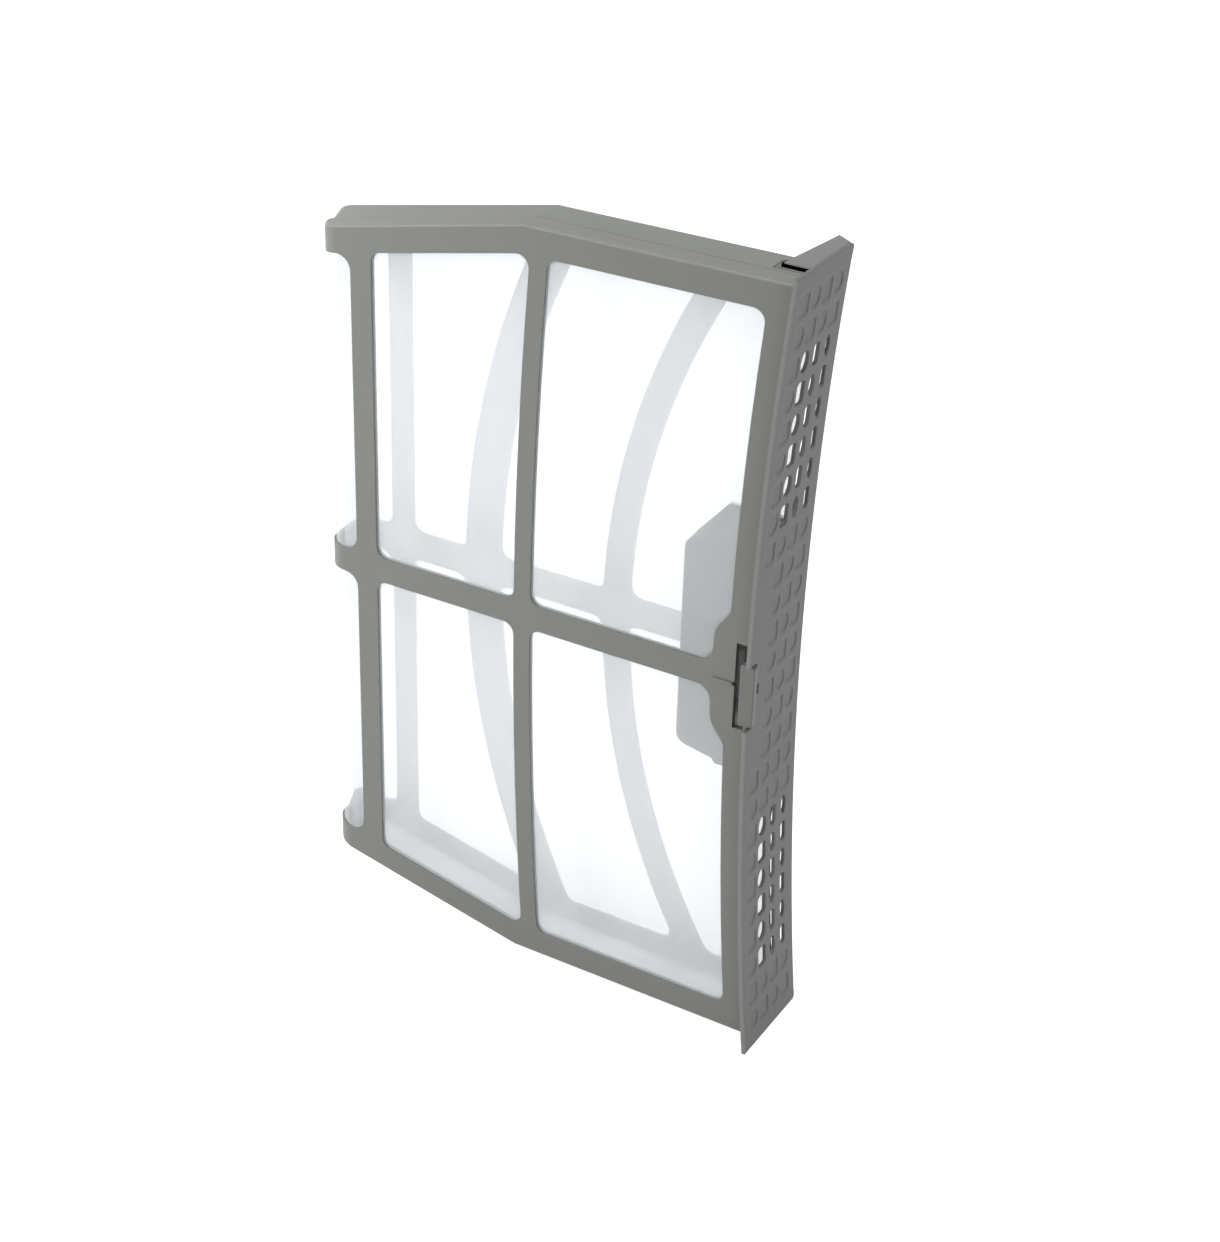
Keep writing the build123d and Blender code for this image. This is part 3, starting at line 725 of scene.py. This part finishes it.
def ring(net, shape, width, height, depth, keep_face=False):
    """Closed loop of twenty points in the plate's plane, at a depth below the outer face."""
    known = set(net.edges)
    known_faces = set(net.faces)
    if shape == "oval":
        made = bmesh.ops.create_circle(net, segments=RING, radius=0.5, cap_ends=True)
    else:
        made = bmesh.ops.create_grid(net, x_segments=1, y_segments=1, size=0.5)
    points = made["verts"]
    bmesh.ops.rotate(net, verts=points, cent=(0, 0, 0), matrix=Matrix.Rotation(pi / 2, 3, "Y"))
    bmesh.ops.scale(net, vec=(1, width, height), verts=points)
    bmesh.ops.translate(net, vec=(-depth, 0, 0), verts=points)
    if shape == "oblong":
        bmesh.ops.bevel(
            net, geom=points, offset=OBLONG_CORNER, segments=SIDE_CUTS, profile=0.5,
            affect="VERTICES", material=-1,
        )
    if shape == "border":
        lines = [line for line in net.edges if line not in known]
        bmesh.ops.subdivide_edges(net, edges=lines, cuts=SIDE_CUTS)
    if not keep_face:
        new_faces = [face for face in net.faces if face not in known_faces]
        bmesh.ops.delete(net, geom=new_faces, context="FACES_ONLY")
    return [line for line in net.edges if line not in known]


print("rings of", RING, "points")

# %% Tiles
PITCH_Y = 7.3
PITCH_Z = 10.0
OBLONG_HEIGHT = 7.2
OVAL_HEIGHT = 7.0
PLATE_THICKNESS = 1.3
DIMPLE_DEPTH = 0.3
DIMPLE_SLOPE = 0.35
RIM = 0.15
# Depth and width of each kind of cell.
CELL_KINDS = {
    "dimple": (DIMPLE_DEPTH, 6.1),
    "vent": (PLATE_THICKNESS, 4.9),
    "slim vent": (PLATE_THICKNESS, 3.4),
    "narrow vent": (PLATE_THICKNESS, 2.9),
}


def tile(shape, depth, width):
    """One paving tile of the plate: a vent, a dimple, or plain."""
    net = bmesh.new()
    plain = shape == "plain"
    through = depth == PLATE_THICKNESS
    outer = ring(net, "border", PITCH_Y, PITCH_Z, 0, keep_face=plain)
    inner = ring(net, "border", PITCH_Y, PITCH_Z, PLATE_THICKNESS, keep_face=not through)
    pairs = []
    if not plain:
        height = OVAL_HEIGHT if shape == "oval" else OBLONG_HEIGHT
        mouth = ring(net, shape, width + 2 * RIM, height + 2 * RIM, 0)
        pairs.append((outer, mouth))
    if through:
        back = ring(net, shape, width + 2 * RIM, height + 2 * RIM, depth)
        lip = ring(net, shape, width, height, RIM)
        waist = ring(net, shape, width, height, depth - RIM)
        pairs += [(inner, back), (lip, waist), (mouth, lip), (waist, back)]
    elif not plain:
        bottom = ring(net, shape, width, height - 2 * DIMPLE_SLOPE, depth, keep_face=True)
        pairs.append((mouth, bottom))
    for first, second in pairs:
        bmesh.ops.bridge_loops(net, edges=first + second)
    mesh = bpy.data.meshes.new("tile")
    net.to_mesh(mesh)
    net.free()
    return mesh


tiles = {
    (shape, kind): tile(shape, depth, width)
    for shape in ("oblong", "oval") for kind, (depth, width) in CELL_KINDS.items()
}
tiles["plain"] = tile("plain", 0, 0)
print("tiles", {str(kind): len(mesh.polygons) for kind, mesh in tiles.items()})

# %% Paving
COLUMN_Y = -5.9
COLUMNS = 5
ROW_Z = 125.0
ROWS = 26
COLUMN_VENTS = {1: "vent", 2: "slim vent", 3: "narrow vent"}
FAR_COLUMN = COLUMNS - 1
SMOOTH_FROM_Z = -30.0
SMOOTH_TO_Z = 40.0

plate_net = bmesh.new()
for column in range(COLUMNS):
    for row in range(ROWS):
        y = COLUMN_Y + column * PITCH_Y
        z = row * PITCH_Z - ROW_Z
        shape = "oblong" if (row + column) % 2 else "oval"
        kind = (shape, "dimple")
        if column in COLUMN_VENTS and VENT_NEAR_Z < abs(z) < VENT_FAR_Z:
            kind = (shape, COLUMN_VENTS[column])
        if column == FAR_COLUMN or column == 0 and SMOOTH_FROM_Z < z < SMOOTH_TO_Z:
            kind = "plain"
        first = len(plate_net.verts)
        plate_net.from_mesh(tiles[kind])
        plate_net.verts.ensure_lookup_table()
        bmesh.ops.translate(plate_net, vec=(0, y, z), verts=plate_net.verts[first:])
bmesh.ops.remove_doubles(plate_net, verts=plate_net.verts, dist=CLOSE)
for mesh in tiles.values():
    bpy.data.meshes.remove(mesh)
print("paved", len(plate_net.faces), "faces")

# %% [markdown]
# ## Margins, edge and notch
# The paving stops short of the plate's near edge and ends, and runs past its far edge. The plain tiles at
# the far side are cut off, the open sides are drawn out to the margins, and the rim is closed all round.
# Behind the far edge a lip turns inwards, and the two far corners are rounded.

# %% Margins and edge
PLATE_NEAR_Y = -PLATE_FRONT_REACH
FAR_OVERHANG = 1.0
PLATE_FAR_Y = PLATE_WIDTH - PLATE_FRONT_REACH + FAR_OVERHANG


def draw_out(net, on_line, by):
    """Draws the open edges on a line out into a strip."""
    lines = [line for line in open_edges(net) if all(on_line(point.co) for point in line.verts)]
    strip = bmesh.ops.extrude_edge_only(net, edges=lines)["geom"]
    bmesh.ops.translate(net, vec=by, verts=points_of(strip))


def on_rim(at):
    """True on the near edge and the two ends of the outer face."""
    at_edge = abs(at.y - PLATE_NEAR_Y) < CLOSE or abs(abs(at.z) - PLATE_HALF) < CLOSE
    return abs(at.x) < CLOSE and at_edge


cut_off(plate_net, (0, PLATE_FAR_Y, 0), (0, 1, 0))
paved_y = COLUMN_Y - PITCH_Y / 2
paved_z = ROW_Z + PITCH_Z / 2
draw_out(plate_net, lambda at: abs(at.y - paved_y) < CLOSE, (0, PLATE_NEAR_Y - paved_y, 0))
for side in (1, -1):
    margin = side * (PLATE_HALF - paved_z)
    draw_out(plate_net, lambda at: abs(at.z - side * paved_z) < CLOSE, (0, 0, margin))
draw_out(plate_net, on_rim, (-PLATE_THICKNESS, 0, 0))
bmesh.ops.remove_doubles(plate_net, verts=plate_net.verts, dist=CLOSE)
bmesh.ops.holes_fill(plate_net, edges=open_edges(plate_net), sides=0)
bmesh.ops.recalc_face_normals(plate_net, faces=plate_net.faces)
print("open edges after closing", len(open_edges(plate_net)))

# %% Far lip and rounded far corners
LIP_DEPTH = 2.4
LIP_THICKNESS = 1.2
FAR_CORNER = 2.0
FAR_CORNER_CUTS = 5

lip_y = PLATE_FAR_Y - LIP_THICKNESS
far_column_y = COLUMN_Y + (FAR_COLUMN - 0.5) * PITCH_Y
inner_x = -PLATE_THICKNESS + CLOSE
cut_line(
    plate_net, (0, lip_y, 0), (0, 1, 0),
    lambda middle: middle.x < inner_x and far_column_y < middle.y < PLATE_FAR_Y - CLOSE,
)
lip_faces = [
    face for face in plate_net.faces
    if all(point.co.x < inner_x for point in face.verts) and face.calc_center_median().y > lip_y
]
made = bmesh.ops.extrude_face_region(plate_net, geom=lip_faces)["geom"]
bmesh.ops.delete(plate_net, geom=lip_faces, context="FACES_ONLY")
bmesh.ops.translate(plate_net, vec=(PLATE_THICKNESS - LIP_DEPTH, 0, 0), verts=points_of(made))
for side in (1, -1):
    centre = Vector((0, PLATE_FAR_Y - FAR_CORNER, side * (PLATE_HALF - FAR_CORNER)))
    for cut in range(FAR_CORNER_CUTS):
        turn = (cut + 0.5) / FAR_CORNER_CUTS * pi / 2
        outward = Vector((0, cos(turn), side * sin(turn)))
        along_cut = cut_off(plate_net, centre + outward * FAR_CORNER, outward)
        lines = [part for part in along_cut if isinstance(part, bmesh.types.BMEdge) and part.is_boundary]
        bmesh.ops.holes_fill(plate_net, edges=lines, sides=0)
print("lip faces", len(lip_faces), "open edges", len(open_edges(plate_net)))

# %% Notch for the hook and slit beside it
NOTCH_TO_Y = -7.9
NOTCH_FROM_Z = -13.5
NOTCH_TO_Z = 8.9
NOTCH_CORNER = 0.8
NOTCH_SEGMENTS = 4
SLIT_FROM_Y = -7.1
SLIT_TO_Y = -5.9
SLIT_FROM_Z = -2.6
SLIT_TO_Z = 0.8


def beside_hook(middle):
    """True on the plain tiles and the margin next to the hook."""
    return middle.y < paved_y + PITCH_Y - CLOSE and SMOOTH_FROM_Z < middle.z < SMOOTH_TO_Z


def in_opening(middle):
    """True inside the outline of the notch or of the slit."""
    in_notch = middle.y < NOTCH_TO_Y and NOTCH_FROM_Z < middle.z < NOTCH_TO_Z
    in_slit = SLIT_FROM_Y < middle.y < SLIT_TO_Y and SLIT_FROM_Z < middle.z < SLIT_TO_Z
    return in_notch or in_slit


for z in (NOTCH_FROM_Z, NOTCH_TO_Z, SLIT_FROM_Z, SLIT_TO_Z):
    cut_line(plate_net, (0, 0, z), (0, 0, 1), beside_hook)
for y in (NOTCH_TO_Y, SLIT_FROM_Y, SLIT_TO_Y):
    cut_line(plate_net, (0, y, 0), (0, 1, 0), beside_hook)
drop_faces(plate_net, in_opening)
draw_out(plate_net, lambda at: abs(at.x) < CLOSE, (-PLATE_THICKNESS, 0, 0))
bmesh.ops.remove_doubles(plate_net, verts=plate_net.verts, dist=CLOSE)
corners = [
    line for line in plate_net.edges
    if all(abs(point.co.y - NOTCH_TO_Y) < CLOSE for point in line.verts)
    and any(all(abs(point.co.z - z) < CLOSE for point in line.verts) for z in (NOTCH_FROM_Z, NOTCH_TO_Z))
]
round_edges(plate_net, corners, NOTCH_CORNER, NOTCH_SEGMENTS)
bmesh.ops.recalc_face_normals(plate_net, faces=plate_net.faces)
print("open edges after the notch", len(open_edges(plate_net)), "corners", len(corners))

# %% Soft rim and curve
PLATE_EDGE = 0.3
CORNER_SLACK = 0.2
PAINTED_HIGHLIGHT_FINISH = 1


def in_far_corner(at):
    """True where the rim runs round one of the two far corners."""
    start = FAR_CORNER - CORNER_SLACK
    return at.y > PLATE_FAR_Y - start and abs(at.z) > PLATE_HALF - start


rim = [
    line for line in sharp_edges(plate_net)
    if all(abs(point.co.x) < CLOSE and not in_far_corner(point.co) for point in line.verts)
]
round_edges(plate_net, rim, PLATE_EDGE, EDGE_SEGMENTS)
# The faces of the plate's near edge take the lighter plastic, a painted highlight for the light the rounded
# edge catches.
for face in plate_net.faces:
    if all(point.co.y < PLATE_NEAR_Y + PLATE_EDGE + CLOSE for point in face.verts):
        face.material_index = PAINTED_HIGHLIGHT_FINISH
for point in plate_net.verts:
    point.co.x += plate_x(point.co.z)
print("plate", len(plate_net.faces), "faces")

# %% [markdown]
# ## Tabs and webs
# At each end a slotted tab reaches back from the plate and lies flush in the rear half's end wall. A
# three-cornered web runs from the tab to the plate's far corner and rises on the way, like a ramp. Under
# its thin skin the tab is hollow, so the slot looks dark. The upper web ends a little proud of the plate;
# the lower one ends level with it, because the filter stands on that end.

# %% Where the tabs lie
TAB_LENGTH = 13.5
TAB_FROM_Y = 1.9
TAB_TO_Y = 7.0
TAB_SLOT_LENGTH = 9.6
TAB_SLOT_WIDTH = 2.8
TAB_SLOT_SETBACK = 1.6
TAB_UNDERCUT = 2.0

tab_to_x = plate_x(PLATE_HALF) - PLATE_THICKNESS
tab_from_x = tab_to_x - TAB_LENGTH
tab_z = half_height(tab_from_x)
slot_from_x = tab_from_x + TAB_SLOT_SETBACK
slot_to_x = slot_from_x + TAB_SLOT_LENGTH
slot_mid_y = (TAB_FROM_Y + TAB_TO_Y) / 2
slot_from_y = slot_mid_y - TAB_SLOT_WIDTH / 2
slot_to_y = slot_mid_y + TAB_SLOT_WIDTH / 2
tab_outline = (tab_from_x, tab_to_x, TAB_FROM_Y, TAB_TO_Y)
slot_outline = (slot_from_x, slot_to_x, slot_from_y, slot_to_y)
hollow_outline = (slot_from_x, slot_to_x, slot_from_y, slot_to_y + TAB_UNDERCUT)
print("tabs from", round(tab_from_x, 1), "to", round(tab_to_x, 1), "at half-height", round(tab_z, 1))

# %% Tabs and webs
TAB_SKIN = 0.6
TAB_HOLLOW = 5.0
WALL = 2.0
WEB_REACH = 5.0
WEB_EDGE = 0.9
WEB_SEGMENTS = 3
WEB_RISE = {1: 1.5, -1: 0}
web_end_x = plate_x(PLATE_HALF, WEB_REACH)


def level_ring(net, outline, z, keep_face=False):
    """Level four-sided loop at a height."""
    from_x, to_x, from_y, to_y = outline
    made = bmesh.ops.create_grid(net, x_segments=1, y_segments=1, size=0.5)["verts"]
    bmesh.ops.scale(net, vec=(to_x - from_x, to_y - from_y, 1), verts=made)
    bmesh.ops.translate(net, vec=((from_x + to_x) / 2, (from_y + to_y) / 2, z), verts=made)
    lines = list({line for point in made for line in point.link_edges})
    if not keep_face:
        bmesh.ops.delete(net, geom=made[0].link_faces[:], context="FACES_ONLY")
    return lines


for side, rise in WEB_RISE.items():
    top_z, skin_z, low_z, hollow_z = (side * (tab_z - down) for down in (0, TAB_SKIN, WALL, TAB_HOLLOW))
    tab_top = level_ring(plate_net, tab_outline, top_z)
    tab_low = level_ring(plate_net, tab_outline, low_z, keep_face=True)
    slot_top = level_ring(plate_net, slot_outline, top_z)
    slot_low = level_ring(plate_net, slot_outline, skin_z)
    hollow_top = level_ring(plate_net, hollow_outline, skin_z)
    hollow_low = level_ring(plate_net, hollow_outline, hollow_z, keep_face=True)
    for first, second in (
        (tab_low, tab_top), (tab_top, slot_top), (slot_top, slot_low),
        (slot_low, hollow_top), (hollow_top, hollow_low),
    ):
        bmesh.ops.bridge_loops(plate_net, edges=first + second)
    ramp = [plate_net.verts.new((x, y, side * z)) for x, y, z in (
        (tab_from_x, TAB_TO_Y, tab_z),
        (tab_to_x, TAB_TO_Y, tab_z),
        (tab_to_x, PLATE_FAR_Y, PLATE_HALF),
        (web_end_x, PLATE_FAR_Y, PLATE_HALF + rise),
    )]
    top = plate_net.faces.new(ramp)
    made = bmesh.ops.extrude_face_region(plate_net, geom=[top])["geom"]
    bmesh.ops.translate(plate_net, vec=(0, 0, -side * WALL), verts=points_of(made))
    outer_line = plate_net.edges.get((ramp[3], ramp[0]))
    far_line = plate_net.edges.get((ramp[2], ramp[3]))
    round_edges(plate_net, [outer_line, far_line], WEB_EDGE, WEB_SEGMENTS)
print("plate with tabs", len(plate_net.faces), "faces")

# %% Plate piece
bmesh.ops.recalc_face_normals(plate_net, faces=plate_net.faces)
place_net(plate_net)
plate_shell = finish_piece(plate_net, "handle_plate_shell", "rear_half", "handle_plate")
# The plate's plastic carries painted shade; the second slot holds the painted highlight of its near edge.
plate_shell.data.materials.append(plastics["plate_plastic_with_painted_shade"])
plate_shell.data.materials.append(plastics["edge_plastic_painted_highlight"])
keep_flat_faces(plate_shell)

# %% [markdown]
# ## Floor, light and background
# Catalogue pictures are lit by large soft boxes and stand on endless white. The floor is white to the
# camera and keeps a trace of the filter's shadow. The main box is close by at the front left, so the
# leaf grows darker towards its far lower corner, and the handle plate stays a shade darker still, helped
# by the painted shade in its plastic. A box overhead brightens the top walls. Weaker ones on the right
# draw the plate's cells and the bars' sides, and one behind on the left brightens the bend.

# %% Floor
FLOOR_SIZE = 6.0
FLOOR_WHITE = 0.8
FLOOR_SHADE = 0.25
FLOOR_GLOW = 0.93


def grey(level):
    """Neutral colour of a brightness."""
    return (level, level, level, 1.0)


def seen_directly(finish):
    """1 for the camera's own rays and for what gloss and glass see."""
    rays = [finish.node("ShaderNodeLightPath", {}, {}, name) for name in (
        "Is Camera Ray", "Is Glossy Ray", "Is Transmission Ray"
    )]
    total = rays[0] + rays[1] + rays[2]
    return finish.node("ShaderNodeMath", {"operation": "MINIMUM"}, {0: total, 1: 1.0})


floor_finish = Finish(bpy.data.materials.new("floor_white"))
shade = floor_finish.node("ShaderNodeBsdfDiffuse", {}, {"Color": grey(FLOOR_WHITE)})
faint = floor_finish.node("ShaderNodeBsdfDiffuse", {}, {"Color": grey(FLOOR_SHADE)})
glow = floor_finish.node("ShaderNodeEmission", {}, {"Strength": FLOOR_GLOW})
white = floor_finish.node("ShaderNodeAddShader", {}, {0: faint, 1: glow})
seen = seen_directly(floor_finish)
floor_mix = floor_finish.node("ShaderNodeMixShader", {}, {0: seen, 1: shade, 2: white})
floor_finish.tree.links.new(
    floor_mix.output, floor_finish.tree.nodes["Material Output"].inputs["Surface"]
)
floor_finish.tree.nodes.remove(floor_finish.shader)

floor_net = bmesh.new()
bmesh.ops.create_grid(floor_net, x_segments=1, y_segments=1, size=FLOOR_SIZE)
floor_mesh = bpy.data.meshes.new("floor")
floor_net.to_mesh(floor_mesh)
floor_net.free()
floor_mesh.materials.append(floor_finish.owner)
floor = bpy.data.objects.new("floor", floor_mesh)
bpy.context.scene.collection.objects.link(floor)
print("floor", 2 * FLOOR_SIZE, "m")

# %% Lights
# Direction from the filter, distance and size in metres, power in watts.
SOFT_BOXES = {
    "front_left_box": ((-1.0, -0.75, 0.7), 0.6, 0.5, 4.1),
    "right_box": ((1.0, 0.55, 0.45), 1.4, 0.9, 3.6),
    "front_right_box": ((0.9, -0.6, 0.4), 1.4, 0.9, 3.6),
    "left_box": ((-1.0, 0.5, 0.1), 1.4, 0.9, 4.0),
    "top_box": ((-0.1, 0.2, 1.0), 1.4, 1.0, 18.0),
}
aim = (cad_low + cad_high) / 2


def soft_box(name, direction, distance, size, power):
    """Square area lamp that points at the middle of the filter."""
    lamp = bpy.data.lights.new(name, "AREA")
    lamp.size = size
    lamp.energy = power
    box = bpy.data.objects.new(name, lamp)
    bpy.context.scene.collection.objects.link(box)
    towards = Vector(direction).normalized()
    box.location = aim + towards * distance
    box.rotation_mode = "QUATERNION"
    box.rotation_quaternion = (-towards).to_track_quat("-Z", "Y")
    print(name, power, "W")


for name, values in SOFT_BOXES.items():
    soft_box(name, *values)

# %% Room light and background
ROOM_LIGHT = 0.32
BACKGROUND = 1.0

world = bpy.data.worlds.new("world")
bpy.context.scene.world = world
room = Finish(world, "Background")
room_level = room.node("ShaderNodeMapRange", {}, {
    "Value": room.node("ShaderNodeLightPath", {}, {}, "Is Camera Ray"),
    "To Min": ROOM_LIGHT,
    "To Max": BACKGROUND,
})
room.surface({"Color": grey(1.0), "Strength": room_level})
bpy.context.scene.view_settings.view_transform = "Standard"
print("room light", ROOM_LIGHT)

# %% [markdown]
# ## Sizes
# The size of the solids is printed; the dressed filter stays within a few millimetres of them.

# %% Sizes and finish
print("solids", [round(value, 4) for value in cad_high - cad_low])
